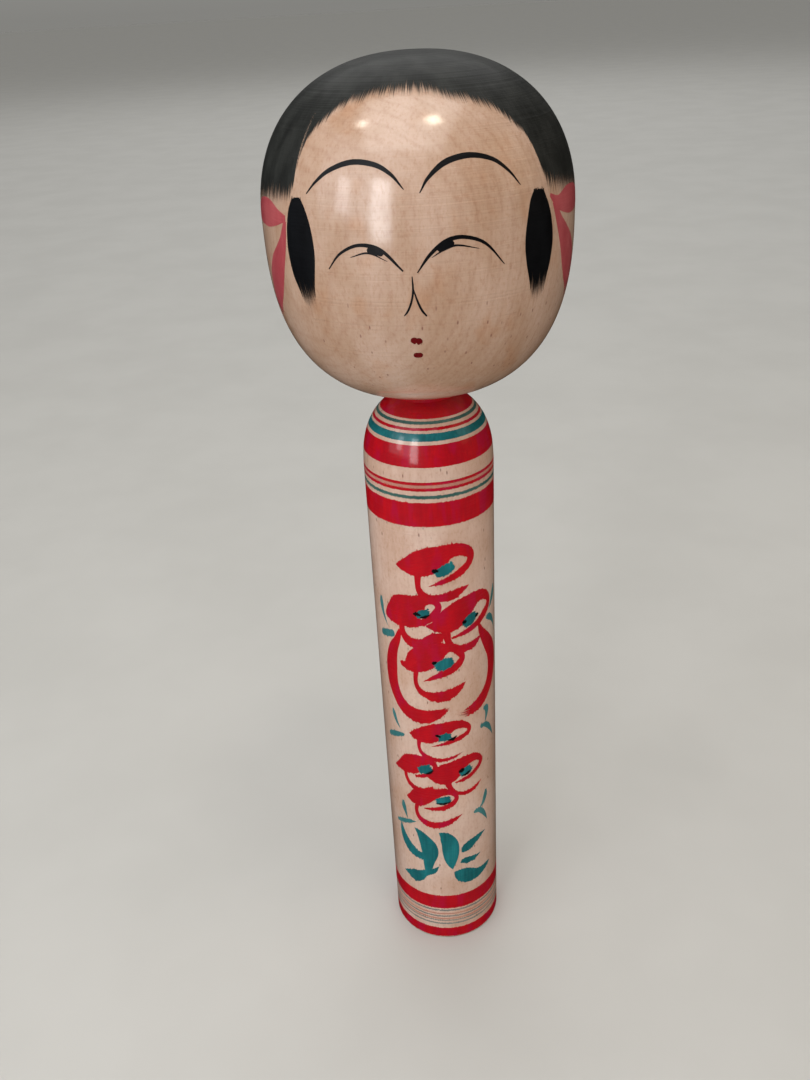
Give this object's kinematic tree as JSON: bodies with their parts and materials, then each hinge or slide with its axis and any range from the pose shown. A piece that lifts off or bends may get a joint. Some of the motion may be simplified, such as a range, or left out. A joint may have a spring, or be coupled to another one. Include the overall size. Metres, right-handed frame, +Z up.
{
  "type": "kokeshi doll",
  "caption": "Wooden kokeshi doll: a tall turned body with painted bands and a round head that turns on a neck tenon.",
  "frame": {"origin": "centre of the foot, on the surface that the doll stands on", "axes": "+Z up along the turning axis, the face looks along -Y, +X is to the right of someone looking at the face"},
  "size_m": [0.0844, 0.0844, 0.303],
  "materials": {
    "body_wood": "waxed pale hardwood, painted with red and blue-green dyes",
    "head_wood": "waxed pale hardwood, polished, painted with black ink and red dye",
    "black_ink": "black sumi ink brushed on waxed wood, satin",
    "red_dye": "crimson dye soaked into the wood, under wax",
    "green_dye": "blue-green dye soaked into the wood, under wax"
  },
  "bodies": {
    "body": {"body": "body_wood"},
    "head": {"head": "head_wood"}
  },
  "joints": [
    {"name": "head_turn", "type": "hinge", "parent": "body", "child": "head", "pos_m": [0, 0, 0.2139], "axis": [0, 0, 1], "continuous": true}
  ]
}
